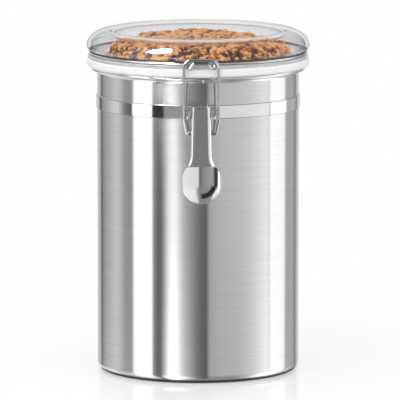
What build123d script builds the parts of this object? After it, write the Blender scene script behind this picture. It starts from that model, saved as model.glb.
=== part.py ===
import os
from math import acos, asin, atan2, cos, degrees, sin, sqrt

from build123d import *

# Storage jar of drawn steel with a clear clamped lid. Millimetres, +Z up, -Y is the latch side.
# The origin is the centre of the resting face, on the jar's axis.

# Driving dimensions of the jar
BODY_R = 63.5
WALL = 0.6
BASE_CORNER_R = 5.0
RIM_BEAD_R = 1.3
RIM_TOP_Z = 193.1
RIM_R = 67.5
BASE_RING_R = 40.0
BASE_RING_HALF = 4.0
BASE_RING_DEPTH = 0.8

# Driving dimensions of the neck band
BAND_LOW_Z = 166.6
BAND_HIGH_Z = 174.9
BAND_T = 0.7
SHEET = 0.8

# Driving dimensions of the lid and its seal
LID_R = 70.1
LID_FLANGE_R = 69.1
LID_FLANGE_LOW_Z = 198.0
LID_FLANGE_HIGH_Z = 200.2
LID_NECK_R = 67.0
LID_NECK_HIGH_Z = 202.3
LID_ROUND_WIDE = 14.0
LID_ROUND_HIGH = 10.0
LID_TOP_Z = 215.7
LID_PANEL_Z = 213.2
LID_WALL = 2.4
LID_CREST_R = 3.6
LID_PLUG_R = 61.5
LID_PLUG_LOW_Z = 189.6
LID_INSIDE_R = 59.6
GASKET_R = 70.0
GASKET_LIFT = 0.12

# Driving dimensions of the wires, and of the clamp that pulls the lid down
WIRE_R = 0.95
RING_R = 68.0
RING_Z = 201.2
PIVOT_D = 69.4
PIVOT_Z = 172.5
PIN_R = 1.0
BAIL_HOLE_D = 67.5
BAIL_HOLE_Z = 157.6
BAIL_TOP_D = 72.1
BAIL_TOP_Z = 203.8
BAIL_HALF = 10.7
FIT_GAP = 0.1
EAR_X = 8.2
EAR_T = 0.9

# Driving dimensions of the lever
LEVER_T = 1.0
LEVER_TOP_Z = 174.7
PAD_Z = 127.3
PAD_R = 12.1
PAD_FRONT_D = 72.5
PAD_DISH_R = 21.0
PAD_EDGE_R = 0.4

# Driving dimensions of the rear hinge
HINGE_Y = 73.9
HINGE_Z = 187.5
HINGE_EAR_X = 5.6
HINGE_EYE_R = 2.5
HINGE_ARM_X = 7.9

BAND_R = BODY_R + BAND_T
PLATE_R = BAND_R + SHEET

os.makedirs("parts", exist_ok=True)


# Canister shell: drawn wall, rounded base corner, pressed base ring, flared rim with a rolled bead
def base_line(z, side):
    """Base outline from the axis to the corner, at height z, with the pressed ring shifted by side."""
    inner = BASE_RING_R - BASE_RING_HALF
    outer = BASE_RING_R + BASE_RING_HALF
    return [
        (0, z),
        (inner - side, z),
        (inner + 1.2 - side, z + BASE_RING_DEPTH),
        (outer - 1.2 + side, z + BASE_RING_DEPTH),
        (outer + side, z),
        (BODY_R - BASE_CORNER_R, z),
    ]


BEAD_X = RIM_R - RIM_BEAD_R
BEAD_Z = RIM_TOP_Z - RIM_BEAD_R
FLARE_X = BEAD_X - 0.8
FLARE_R = FLARE_X - BODY_R
FLARE_INSIDE_R = FLARE_R + WALL

with BuildPart() as canister_shell:
    with BuildSketch(Plane.XZ):
        with BuildLine():
            Polyline(*base_line(0, 0))
            CenterArc((BODY_R - BASE_CORNER_R, BASE_CORNER_R), BASE_CORNER_R, -90, 90)
            Line((BODY_R, BASE_CORNER_R), (BODY_R, BEAD_Z - RIM_BEAD_R - FLARE_R))
            CenterArc((FLARE_X, BEAD_Z - RIM_BEAD_R - FLARE_R), FLARE_R, 90, 90)
            Line((FLARE_X, BEAD_Z - RIM_BEAD_R), (BEAD_X, BEAD_Z - RIM_BEAD_R))
            CenterArc((BEAD_X, BEAD_Z), RIM_BEAD_R, -90, 180)
            Line((BEAD_X, RIM_TOP_Z), (FLARE_X, RIM_TOP_Z))
            CenterArc((FLARE_X, RIM_TOP_Z - FLARE_INSIDE_R), FLARE_INSIDE_R, 90, 90)
            Line((BODY_R - WALL, RIM_TOP_Z - FLARE_INSIDE_R), (BODY_R - WALL, BASE_CORNER_R))
            CenterArc((BODY_R - BASE_CORNER_R, BASE_CORNER_R), BASE_CORNER_R - WALL, -90, 90)
            Polyline(*base_line(WALL, 0.2))
            Line((0, 0), (0, WALL))
        make_face()
    revolve(axis=Axis.Z)
canister_shell.part.label = "canister_shell"
export_step(canister_shell.part, "parts/canister_shell.step")


# Neck band: flat strap clamped round the shell, its edges broken
with BuildPart() as neck_band:
    with BuildSketch(Plane.XZ):
        with Locations((BODY_R, BAND_LOW_Z)):
            Rectangle(BAND_T, BAND_HIGH_Z - BAND_LOW_Z, align=(Align.MIN, Align.MIN))
    revolve(axis=Axis.Z)
    outer_edges = neck_band.edges().filter_by(GeomType.CIRCLE).group_by(SortBy.RADIUS)[-1]
    fillet(outer_edges, radius=0.25)
neck_band.part.label = "neck_band"
export_step(neck_band.part, "parts/neck_band.step")


# Clear lid: plug, flange, wire groove, hollow rounded rim and a sunk flat centre panel
CREST_X = LID_R - LID_ROUND_WIDE
ROUND_Z = LID_TOP_Z - LID_ROUND_HIGH
BELLY_R = ROUND_Z - LID_NECK_HIGH_Z
CREST_DROP = LID_CREST_R - (LID_TOP_Z - LID_PANEL_Z)
PANEL_R = CREST_X - sqrt(LID_CREST_R**2 - CREST_DROP**2)
CREST_HALF_TURN = acos(CREST_DROP / LID_CREST_R) / 2
CREST_MIDDLE = (
    CREST_X - LID_CREST_R * sin(CREST_HALF_TURN),
    LID_TOP_Z - LID_CREST_R * (1 - cos(CREST_HALF_TURN)),
)
INSIDE_TOP = LID_PANEL_Z - LID_WALL
INSIDE_BELLY_R = BELLY_R - LID_WALL
INSIDE_NECK_R = LID_NECK_R - LID_WALL
INSIDE_NECK_LOW_Z = 201.0
INSIDE_PLUG_TOP_Z = 198.4

with BuildPart() as clear_lid:
    with BuildSketch(Plane.XZ):
        with BuildLine():
            Polyline(
                (LID_INSIDE_R, LID_PLUG_LOW_Z),
                (LID_PLUG_R, LID_PLUG_LOW_Z),
                (LID_PLUG_R, LID_FLANGE_LOW_Z),
                (LID_FLANGE_R, LID_FLANGE_LOW_Z),
                (LID_FLANGE_R, LID_FLANGE_HIGH_Z),
                (LID_NECK_R, LID_FLANGE_HIGH_Z),
                (LID_NECK_R, LID_NECK_HIGH_Z),
                (LID_R - BELLY_R, LID_NECK_HIGH_Z),
            )
            CenterArc((LID_R - BELLY_R, ROUND_Z), BELLY_R, -90, 90)
            EllipticalCenterArc((CREST_X, ROUND_Z), LID_ROUND_WIDE, LID_ROUND_HIGH, arc_size=90)
            ThreePointArc((CREST_X, LID_TOP_Z), CREST_MIDDLE, (PANEL_R, LID_PANEL_Z))
            Polyline(
                (PANEL_R, LID_PANEL_Z),
                (0, LID_PANEL_Z),
                (0, INSIDE_TOP),
                (PANEL_R - 1.5, INSIDE_TOP),
                (CREST_X, LID_TOP_Z - LID_WALL),
            )
            EllipticalCenterArc(
                (CREST_X, ROUND_Z), LID_ROUND_WIDE - LID_WALL, LID_ROUND_HIGH - LID_WALL, arc_size=90
            )
            CenterArc((LID_R - BELLY_R, ROUND_Z), INSIDE_BELLY_R, -90, 90)
            Polyline(
                (LID_R - BELLY_R, ROUND_Z - INSIDE_BELLY_R),
                (INSIDE_NECK_R, ROUND_Z - INSIDE_BELLY_R - 0.9),
                (INSIDE_NECK_R, INSIDE_NECK_LOW_Z),
                (LID_INSIDE_R, INSIDE_PLUG_TOP_Z),
                (LID_INSIDE_R, LID_PLUG_LOW_Z),
            )
        make_face()
    revolve(axis=Axis.Z)
clear_lid.part.label = "clear_lid"
export_step(clear_lid.part, "parts/clear_lid.step")


# Lid gasket: ring stretched over the plug, with a skirt that drops outside the rim bead
GASKET_LOW_Z = RIM_TOP_Z + GASKET_LIFT
SKIRT_INSIDE_R = RIM_R + 0.3
SKIRT_LOW_Z = 191.7
GASKET_ROUND = 0.9

with BuildPart() as lid_gasket:
    with BuildSketch(Plane.XZ):
        with BuildLine():
            Polyline(
                (GASKET_R - GASKET_ROUND, LID_FLANGE_LOW_Z),
                (LID_PLUG_R, LID_FLANGE_LOW_Z),
                (LID_PLUG_R, GASKET_LOW_Z),
                (SKIRT_INSIDE_R, GASKET_LOW_Z),
                (SKIRT_INSIDE_R, SKIRT_LOW_Z),
                (SKIRT_INSIDE_R + 0.5, SKIRT_LOW_Z),
                (GASKET_R, GASKET_LOW_Z + 1.3),
                (GASKET_R, LID_FLANGE_LOW_Z - GASKET_ROUND),
            )
            CenterArc(
                (GASKET_R - GASKET_ROUND, LID_FLANGE_LOW_Z - GASKET_ROUND), GASKET_ROUND, 0, 90
            )
        make_face()
    revolve(axis=Axis.Z)
lid_gasket.part.label = "lid_gasket"
export_step(lid_gasket.part, "parts/lid_gasket.step")


# Bent wire: one half of each wire is a round bar along a filleted route, and the other mirrors it
def wire_run(points, radii):
    """Round wire along straight runs that are joined by arcs of the given radii."""
    with BuildPart() as run:
        with BuildLine():
            route = FilletPolyline(*points, radius=radii)
        with BuildSketch(Plane(origin=route @ 0, z_dir=route % 0)):
            Circle(WIRE_R)
        sweep(path=route)
    return run.part


def ring_point(x, side):
    """Point of the ring's centre line at x, on the rear (side 1) or the front (side -1)."""
    return (x, side * sqrt(RING_R**2 - x**2), RING_Z)


def tangent_point(start, x):
    """Point at x on the ring's tangent through start."""
    return (x, start[1] + (start[0] - x) * start[0] / start[1], RING_Z)


# Lid ring wire: one wire round the lid's neck, a raised catch in front, two hinge arms behind
REAR_LEAVE_X = 11.0
FRONT_LEAVE_X = 11.8
ARM_TURN_R = 1.5
CATCH_OUT_X = 8.6
CATCH_FOOT = (8.0, -71.4, 196.9)
CATCH_FOOT_R = 1.05
CATCH_BAR = (4.8, -71.9, 201.75)

rear_leave = ring_point(REAR_LEAVE_X, 1)
front_leave = ring_point(FRONT_LEAVE_X, -1)
hinge_arm = wire_run(
    [
        (HINGE_EAR_X - 0.9, HINGE_Y, HINGE_Z),
        (HINGE_ARM_X, HINGE_Y, HINGE_Z),
        (HINGE_ARM_X, HINGE_Y - 1, RING_Z),
        tangent_point(rear_leave, HINGE_ARM_X),
        rear_leave,
    ],
    [ARM_TURN_R, ARM_TURN_R, ARM_TURN_R],
)
front_catch = wire_run(
    [
        front_leave,
        tangent_point(front_leave, CATCH_OUT_X),
        (CATCH_OUT_X, -71.0, RING_Z),
        CATCH_FOOT,
        CATCH_BAR,
        (0, CATCH_BAR[1], CATCH_BAR[2]),
    ],
    [1.3, 1.3, CATCH_FOOT_R, 1.5],
)
rear_angle = degrees(atan2(rear_leave[1], rear_leave[0]))
front_angle = degrees(atan2(front_leave[1], front_leave[0]))

with BuildPart() as lid_ring_wire:
    with BuildSketch(Plane.XZ.rotated((0, 0, front_angle))):
        with Locations((RING_R, RING_Z)):
            Circle(WIRE_R)
    revolve(axis=Axis.Z, revolution_arc=rear_angle - front_angle)
    add(hinge_arm)
    add(front_catch)
    mirror(about=Plane.YZ)
lid_ring_wire.part.label = "lid_ring_wire"
export_step(lid_ring_wire.part, "parts/lid_ring_wire.step")


# Bail wire: loop over the catch, its two ends hooked into the lever's sides
BAIL_LEAN = (BAIL_TOP_D - BAIL_HOLE_D) / (BAIL_TOP_Z - BAIL_HOLE_Z)
BAIL_BEND_Z = 166.5
BAIL_FOOT_X = 8.9
BAIL_END_X = 4.7
bail_half = wire_run(
    [
        (0, -BAIL_TOP_D, BAIL_TOP_Z),
        (BAIL_HALF, -BAIL_TOP_D, BAIL_TOP_Z),
        (BAIL_HALF, -BAIL_HOLE_D - BAIL_LEAN * (BAIL_BEND_Z - BAIL_HOLE_Z), BAIL_BEND_Z),
        (BAIL_FOOT_X, -BAIL_HOLE_D, BAIL_HOLE_Z),
        (BAIL_END_X, -BAIL_HOLE_D, BAIL_HOLE_Z),
    ],
    [4.5, 8.0, 1.4],
)

with BuildPart() as bail_wire:
    add(bail_half)
    mirror(about=Plane.YZ)
bail_wire.part.label = "bail_wire"
export_step(bail_wire.part, "parts/bail_wire.step")


# Bracket plates: a curved plate on the band carries two ears
def band_plate(half_width, low, high, side):
    """Curved plate that lies on the band, on the rear (side 1) or the front (side -1)."""
    with BuildPart() as plate:
        with BuildSketch(Plane.XY.offset(low)):
            Circle(PLATE_R)
            Circle(BAND_R, mode=Mode.SUBTRACT)
            with Locations((0, side * PLATE_R)):
                Rectangle(2 * half_width, PLATE_R, mode=Mode.INTERSECT)
        extrude(amount=high - low)
    return plate.part


def ear(outline, near_x, thickness):
    """Flat ear beside the plane x = 0, from an outline of (y, z) points, and cut to the band."""
    with BuildPart() as plate:
        with BuildSketch(Plane.YZ.offset(near_x)):
            with BuildLine():
                Polyline(*outline, close=True)
            make_face()
        extrude(amount=thickness)
        with BuildSketch(Plane.XY):
            Circle(BAND_R)
        extrude(amount=LID_TOP_Z, mode=Mode.SUBTRACT)
    return plate.part


# Latch bracket: plate and two ears that hold the lever's pin
EAR_TIP_D = PIVOT_D + 2.7
latch_ear_outline = [
    (-BODY_R, BAND_LOW_Z + 0.5),
    (-EAR_TIP_D + 1.6, BAND_LOW_Z + 0.5),
    (-EAR_TIP_D, BAND_LOW_Z + 2.8),
    (-EAR_TIP_D, BAND_HIGH_Z - 1.6),
    (-EAR_TIP_D + 1.4, BAND_HIGH_Z + 0.2),
    (-BODY_R, BAND_HIGH_Z + 0.2),
]
latch_ear = ear(latch_ear_outline, EAR_X, EAR_T)

with BuildPart() as latch_bracket:
    add(band_plate(EAR_X + EAR_T, BAND_LOW_Z, BAND_HIGH_Z, -1))
    add(latch_ear)
    mirror(about=Plane.YZ)
    with BuildSketch(Plane.YZ.offset(-EAR_X - EAR_T)):
        with Locations((-PIVOT_D, PIVOT_Z)):
            Circle(PIN_R)
    extrude(amount=2 * (EAR_X + EAR_T), mode=Mode.SUBTRACT)
latch_bracket.part.label = "latch_bracket"
export_step(latch_bracket.part, "parts/latch_bracket.step")


# Lever pin: plain pin across the ears, its two heads peened over
PIN_HEAD_R = 1.6
PIN_HEAD_T = 0.3

with BuildPart() as lever_pin:
    with BuildSketch(Plane.YZ.offset(-EAR_X - EAR_T)):
        with Locations((-PIVOT_D, PIVOT_Z)):
            Circle(PIN_R)
    extrude(amount=2 * (EAR_X + EAR_T))
    for head_x in (-EAR_X - EAR_T - PIN_HEAD_T, EAR_X + EAR_T):
        with BuildSketch(Plane.YZ.offset(head_x)):
            with Locations((-PIVOT_D, PIVOT_Z)):
                Circle(PIN_HEAD_R)
        extrude(amount=PIN_HEAD_T)
lever_pin.part.label = "lever_pin"
export_step(lever_pin.part, "parts/lever_pin.step")


# Hinge bracket: plate and two ears behind, each with an eye for the ring wire's end and a stop tab
HINGE_PLATE_LOW_Z = 164.8
HINGE_PLATE_HIGH_Z = 177.6
STOP_Y = 76.3
STOP_LOW_Z = 181.6
STOP_HIGH_Z = 185.3
STOP_OUT_X = 9.3
WELD_R = 1.3
WELD_DEPTH = 0.25
hinge_ear_outline = [
    (BODY_R, HINGE_PLATE_LOW_Z + 1.2),
    (STOP_Y + EAR_T, STOP_LOW_Z - 2.6),
    (STOP_Y + EAR_T, STOP_HIGH_Z),
    (HINGE_Y + HINGE_EYE_R, HINGE_Z - 0.8),
    (HINGE_Y, HINGE_Z - 1.0),
    (HINGE_Y - HINGE_EYE_R, HINGE_Z),
    (HINGE_Y - HINGE_EYE_R - 0.6, HINGE_Z - 1.6),
    (BODY_R, HINGE_PLATE_HIGH_Z - 0.6),
]

with BuildPart() as hinge_bracket:
    add(band_plate(HINGE_EAR_X + EAR_T + 3.0, HINGE_PLATE_LOW_Z, HINGE_PLATE_HIGH_Z, 1))
    add(ear(hinge_ear_outline, HINGE_EAR_X, EAR_T))
    with BuildSketch(Plane.YZ.offset(HINGE_EAR_X)):
        with Locations((HINGE_Y, HINGE_Z)):
            Circle(HINGE_EYE_R)
    extrude(amount=EAR_T)
    with BuildSketch(Plane.XY.offset(STOP_LOW_Z)):
        with Locations((HINGE_EAR_X, STOP_Y)):
            Rectangle(STOP_OUT_X - HINGE_EAR_X, EAR_T, align=(Align.MIN, Align.MIN))
    extrude(amount=STOP_HIGH_Z - STOP_LOW_Z)
    mirror(about=Plane.YZ)
    with BuildSketch(Plane.YZ.offset(-HINGE_EAR_X - EAR_T)):
        with Locations((HINGE_Y, HINGE_Z)):
            Circle(WIRE_R + FIT_GAP)
    extrude(amount=2 * (HINGE_EAR_X + EAR_T), mode=Mode.SUBTRACT)
    with BuildSketch(Plane.XZ.offset(-PLATE_R - 1)):
        with Locations((-2.6, 171.0), (2.6, 171.0)):
            Circle(WELD_R)
    extrude(amount=1 + WELD_DEPTH, mode=Mode.SUBTRACT)
hinge_bracket.part.label = "hinge_bracket"
export_step(hinge_bracket.part, "parts/hinge_bracket.step")


# Latch lever: pressed channel that flares above a dished thumb pad
SHANK_TOP_X = 5.9
SHANK_X = 6.6
SHANK_LOW_Z = 144.5
FLARE_TIP_X = 8.4
FLARE_TIP_Z = 138.4
FLANGE_LOW_D = 69.0
TONGUE_X = 4.4
TONGUE_Z = 132.0
SHOULDER_X = 9.2
SHOULDER_Z = 137.7
LEVER_FRONT_D = 71.4
LEVER_BACK_D = 65.3
LEVER_BEND_R = 2.2
CUT_Z = LEVER_TOP_Z + 8
CUT_D = 60.0


def lever_shank(inset, back, top):
    """Channel form with its front corners rounded; inset draws every wall in by the sheet."""
    with BuildPart() as shank:
        with BuildSketch(Plane.XZ):
            with BuildLine():
                Polyline(
                    (0, top),
                    (SHANK_TOP_X - inset, top),
                    (SHANK_X - 0.1 - inset, SHANK_LOW_Z + 3.5),
                    (SHANK_X - inset, SHANK_LOW_Z),
                )
                ThreePointArc(
                    (SHANK_X - inset, SHANK_LOW_Z),
                    (SHANK_X + 0.5 - inset, FLARE_TIP_Z + 2.8),
                    (FLARE_TIP_X - inset, FLARE_TIP_Z),
                )
                Polyline(
                    (FLARE_TIP_X - inset, FLARE_TIP_Z),
                    (TONGUE_X - inset, SHOULDER_Z),
                    (TONGUE_X - inset, TONGUE_Z),
                    (0, TONGUE_Z),
                )
                mirror(about=Plane.YZ)
            make_face()
        extrude(amount=PAD_FRONT_D + 5)
        with BuildSketch(Plane.YZ):
            with BuildLine():
                Polyline(
                    (-LEVER_FRONT_D + inset, CUT_Z),
                    (-LEVER_FRONT_D + inset, LEVER_TOP_Z),
                    (-PAD_FRONT_D + inset, TONGUE_Z - 1),
                    *back,
                    close=True,
                )
            make_face()
        extrude(amount=20, both=True, mode=Mode.INTERSECT)
        front_face = shank.faces().filter_by(lambda face: face.normal_at().Y < -0.9).sort_by(Axis.Z)[0]
        side_edges = front_face.edges().filter_by(lambda edge: abs(edge.center().X) > 1)
        side_edges = side_edges.filter_by(lambda edge: FLARE_TIP_Z + 0.5 < edge.center().Z < top - 0.1)
        fillet(side_edges, radius=LEVER_BEND_R - inset)
    return shank.part


def dish_section():
    """Half section of the dished pad, a concave sheet from its middle to its rim on the +X side."""
    centre = (0, -PAD_FRONT_D - PAD_DISH_R)
    front_turn = degrees(asin(PAD_R / PAD_DISH_R))
    back_turn = degrees(asin(PAD_R / (PAD_DISH_R + LEVER_T)))
    with BuildSketch(Plane.XY.offset(PAD_Z)) as section:
        with BuildLine():
            front = CenterArc(centre, PAD_DISH_R, 90, -front_turn)
            back = CenterArc(centre, PAD_DISH_R + LEVER_T, 90, -back_turn)
            Line(front @ 0, back @ 0)
            Line(front @ 1, back @ 1)
        make_face()
        fillet(section.vertices().group_by(Axis.X)[-1], radius=PAD_EDGE_R)
    return section.sketch


def pad_shoulders():
    """Upper half of the pad: the dish's section carried up to the shoulders and cut to its outline."""
    with BuildPart() as upper:
        with BuildSketch(Plane.XY.offset(PAD_Z)):
            add(dish_section())
            mirror(about=Plane.YZ)
        extrude(amount=SHOULDER_Z - PAD_Z)
        with BuildSketch(Plane.XZ):
            with BuildLine():
                ThreePointArc((PAD_R, PAD_Z), (PAD_R - 0.5, PAD_Z + 5.3), (SHOULDER_X, SHOULDER_Z))
                Polyline((SHOULDER_X, SHOULDER_Z), (0, SHOULDER_Z), (0, PAD_Z), (PAD_R, PAD_Z))
            make_face()
            mirror(about=Plane.YZ)
        extrude(amount=PAD_FRONT_D + PAD_DISH_R, mode=Mode.INTERSECT)
    return upper.part


lever_back = [
    (-PAD_FRONT_D + LEVER_T, TONGUE_Z - 1),
    (-PAD_FRONT_D + LEVER_T, SHOULDER_Z),
    (-FLANGE_LOW_D, SHOULDER_Z),
    (-FLANGE_LOW_D, FLARE_TIP_Z + 2.6),
    (-LEVER_BACK_D, BAIL_HOLE_Z - 4.6),
    (-LEVER_BACK_D, BAIL_HOLE_Z + 6.9),
    (-PIVOT_D + 3.2, PIVOT_Z - 4),
    (-PIVOT_D + 3.2, PIVOT_Z + 0.8),
    (-PIVOT_D + 1.8, LEVER_TOP_Z),
    (-PIVOT_D + 1.8, CUT_Z),
]
channel_back = [(-CUT_D, TONGUE_Z - 1), (-CUT_D, CUT_Z)]
NOTCH_R = 6.0
NOTCH_Z = LEVER_TOP_Z + 4.6

with BuildPart() as latch_lever:
    add(lever_shank(0, lever_back, LEVER_TOP_Z))
    add(lever_shank(LEVER_T, channel_back, CUT_Z - 3), mode=Mode.SUBTRACT)
    add(pad_shoulders())
    revolve(dish_section(), axis=Axis((0, 0, PAD_Z), (0, 1, 0)), revolution_arc=180)
    with BuildSketch(Plane.YZ.offset(-SHANK_X - 1)):
        with Locations((-PIVOT_D, PIVOT_Z)):
            Circle(PIN_R + FIT_GAP)
        with Locations((-BAIL_HOLE_D, BAIL_HOLE_Z)):
            Circle(WIRE_R + FIT_GAP)
    extrude(amount=2 * SHANK_X + 2, mode=Mode.SUBTRACT)
    with BuildSketch(Plane.XZ.offset(CUT_D)):
        with Locations((0, NOTCH_Z)):
            Circle(NOTCH_R)
    extrude(amount=20, mode=Mode.SUBTRACT)
latch_lever.part.label = "latch_lever"
export_step(latch_lever.part, "parts/latch_lever.step")
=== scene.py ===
from math import acos, atan2, cos, pi, radians, sin, tan

import bmesh
import bpy
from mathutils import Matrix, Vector, noise


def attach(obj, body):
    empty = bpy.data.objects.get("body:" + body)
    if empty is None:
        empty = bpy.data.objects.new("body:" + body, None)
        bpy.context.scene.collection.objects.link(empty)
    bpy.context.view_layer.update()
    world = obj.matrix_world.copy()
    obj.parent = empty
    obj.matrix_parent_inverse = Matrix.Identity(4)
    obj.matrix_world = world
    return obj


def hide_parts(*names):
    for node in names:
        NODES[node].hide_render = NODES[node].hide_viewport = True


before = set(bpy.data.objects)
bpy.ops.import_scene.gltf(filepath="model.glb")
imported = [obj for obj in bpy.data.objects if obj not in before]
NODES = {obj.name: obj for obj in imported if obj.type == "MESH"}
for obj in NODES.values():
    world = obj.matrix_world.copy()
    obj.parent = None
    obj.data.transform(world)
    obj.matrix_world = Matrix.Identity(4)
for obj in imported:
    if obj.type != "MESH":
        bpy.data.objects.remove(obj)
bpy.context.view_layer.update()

# A clamp-lid storage jar. The scene is in metres, with +Z up, the latch on the -Y side and the origin at the
# centre of the resting face. The jar's sizes and profiles are in millimetres, and new_piece scales them.
MM = 0.001

# Steps round the axis of the turned pieces, and the angles in degrees from which edges stay sharp
TURN_STEPS = 288
SHARP_EDGE = 35
LID_SHARP_EDGE = 40
SUGAR_SHARP_EDGE = 180

# A profile point this close to the axis lies on it. A run longer than the second value gets a point near
# each end, as far from it as the third.
ON_AXIS = 1e-6
LONG_RUN = 2.5
HOLD_REACH = 0.35

# Canister, as in the part: wall, pressed ring under the base, flare and rolled bead of the rim
BODY_R = 63.5
WALL = 0.6
BASE_CORNER_R = 5.0
BASE_RING_UNDER = [(0, 0), (36, 0), (37.2, 0.8), (42.8, 0.8), (44, 0)]
BASE_RING_INSIDE = [(44.2, WALL), (43, 1.4), (37, 1.4), (35.8, WALL), (0, WALL)]
RIM_R = 67.5
RIM_TOP_Z = 193.1
RIM_BEAD_R = 1.3
RIM_LEVEL_RUN = 0.8

# Neck band, with its rounded outer edges and the width that they take, where dark steel paints a thin line
# of shade
BAND_LOW_Z = 166.6
BAND_HIGH_Z = 174.9
BAND_T = 0.7
BAND_EDGE_R = 0.35
BAND_EDGE_HIGH = 0.34

# Seal: round the plug, on the rim bead and down outside it
SEAL_R = 70.0
SEAL_LIFT = 0.12
SEAL_LIP_IN_R, SEAL_LIP_OUT_R = 67.8, 68.5
SEAL_LIP_DROP = 0.5
SEAL_SIDE_RISE = 0.6
SEAL_CORNERS = [0, 0, 0, 0.15, 0.3, 0.7, 0.9]

# Lid from below: plug, flange, wire groove, belly and round shoulder of the hollow rim, crest and sunk panel
PLUG_IN_R, PLUG_R = 59.6, 61.5
PLUG_LOW_Z = 189.6
FLANGE_R = 69.1
FLANGE_LOW_Z, FLANGE_HIGH_Z = 198.0, 200.2
GROOVE_R = 67.0
LIP_R = 67.3
LIP_Z = 202.3
LID_R = 70.1
LID_TOP_Z = 215.7
LID_WALL = 2.4
SHOULDER_HIGH = 10.0
SHOULDER_WIDE = 14.0
SHOULDER_Z = LID_TOP_Z - SHOULDER_HIGH
BELLY_R = SHOULDER_Z - LIP_Z
BELLY_START, BELLY_START_INSIDE = -85, -80
SHOULDER_START = 3
CREST_X = LID_R - SHOULDER_WIDE
CREST_R = 2.5
CREST_STEPS = 8
PANEL_Z = 213.2
PANEL_UNDER_R = 52.1
LID_CORNERS = [0.3, 0.5, 0.25, 0.4, 0.4, 0.4, 0.12, 0]

# Foot of the crest: how far the panel's edge lies inside the crest's end, and the two points between them,
# as the distance from the nearer of those ends and the height over the panel
FOOT_WIDE = 1.5
FOOT_UPPER = (0.4, 0.3)
FOOT_LOWER = (0.5, 0.06)

# Inside of the lid's neck, from the hollow rim down to the plug
NECK_INSIDE = [(64.6, 203.6), (64.6, 201.0), (PLUG_IN_R, 198.4), (PLUG_IN_R, 196.0)]
NECK_CORNERS = [0.6, 1.6, 1.6, 0]

# The lid's materials in the order of their slots, and the limits of the zones that have them
PANEL, FLANGE, RIM, FOLD, RIDGE, LIP, NECK = range(7)
PANEL_SLACK = 0.1
FOLD_HIGH = 0.35
RIDGE_HIGH, NEAR_RIDGE_HIGH = 1.3, 1.5
LIP_ZONE_R, LIP_ZONE_Z, LIP_HIGH = 66.5, 202, 0.7
NECK_ZONE_IN_R, NECK_ZONE_OUT_R, NECK_ZONE_Z = 59, 65.5, 203.0

# Sugar heap: a full flat top that falls to both sides, a rounded edge and a short upright side
SUGAR_TOP_Z = 209.6
SUGAR_SIDE_FALL = 3.0
SUGAR_FLAT_R = 51.0
SUGAR_EDGE_WIDE = 6.4
SUGAR_EDGE_HIGH = 9.6
SUGAR_MOST_R = 59.2
SUGAR_MOST_Z = 210.6
SUGAR_FLOOR_Z = 150.0
SUGAR_FLAT_RINGS = 96
SUGAR_EDGE_RINGS = 34
SUGAR_SIDE_RINGS = 14
SUGAR_SIDE_STEP = 0.8
SUGAR_STEPS = 440

# Layers of the sugar's relief, as the size of the noise and its shift
CLOD_SIZE = 8.0
CRUMBS = (3.4, (7, 3, 0))
GRAINS = (1.3, (3, 9, 0))
ROLLS = (15, (0, 0, 5))
WARP_X = (7, (40, 0, 9))
WARP_Y = (7, (0, 40, 3))
WARP_REACH = 3.0
CLOD_ROUNDNESS = 1.3
GAP_SHARPNESS = 2.4

# How high each layer stands, how much painted light it adds to the sugar's colour, and the painted light on
# the unseen floor
CLOD_MIDDLE = 0.6
CLOD_HIGH, CRUMB_HIGH, GRAIN_HIGH, ROLL_HIGH = 3.0, 1.7, 1.0, 1.1
SUGAR_SHADE = -0.24
CLOD_LIT, CLEAR_LIT, CRUMB_LIT, GRAIN_LIT, ROLL_LIT = 0.3, 0.36, 0.66, 0.62, 0.16
SUGAR_FLOOR_LIT = 0.3

# Looks of the materials. Grain is given as periods to the metre along each axis. The clear lid's tones go by
# how far it is seen edge on, where they deepen as painted shade; the sugar's go by its painted light and
# noise, and those of the other materials by their noise.
NOISE_LOW, NOISE_HIGH = 0.3, 0.7
BRUSH_FINE, BRUSH_WIDE = (50, 50, 3200), (26, 26, 1100)
BRUSHED_TONES = [(0.35, (0.645, 0.642, 0.634)), (0.65, (0.68, 0.677, 0.668))]
WEAR_CLOUDS, WEAR_SCRATCHES = (90, 90, 90), (260, 260, 2400)
WEAR_DARKER = 0.04
LID_HAZE, RIDGE_HAZE = (70, 70, 70), (150, 150, 150)
SATIN_STREAKS, SATIN_HAZE = (60, 60, 700), (70, 70, 500)
SATIN_BLUE = 0.03
SEAL_CLOUDS = (120, 120, 120)
SEAL_TONES = [(NOISE_LOW, (0.95, 0.95, 0.965)), (NOISE_HIGH, (0.985, 0.985, 0.995))]
SUGAR_SPECKS, SUGAR_MOTTLE = (1500, 1500, 1500), (420, 420, 420)
MOTTLE_SHARE = 0.8
# The sugar's tones run from painted shade in the hollows to painted light on the clods.
SUGAR_TONES = [
    (0.25, (0.06, 0.012, 0.003)), (0.42, (0.3, 0.075, 0.01)), (0.58, (0.66, 0.21, 0.03)),
    (0.85, (0.98, 0.49, 0.14)),
]
PANEL_EDGE_SHADE_TONES = [(0.0, (0.985, 0.985, 0.99)), (0.6, (0.95, 0.95, 0.958)), (1.0, (0.93, 0.93, 0.94))]
RIM_EDGE_SHADE_TONES = [
    (0.0, (0.99, 0.99, 0.995)), (0.6, (0.955, 0.955, 0.965)), (0.85, (0.9, 0.9, 0.915)),
    (1.0, (0.56, 0.56, 0.58)),
]
# Painted shade: a darker line along the fold on the far side of the panel.
FOLD_SHADE_TONES = [(0.0, (0.7, 0.7, 0.73)), (1.0, (0.52, 0.52, 0.56))]
# Painted highlight: a white line along the ridge round the panel.
RIDGE_HIGHLIGHT_COLOUR = (0.98, 0.98, 1.0)
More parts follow.
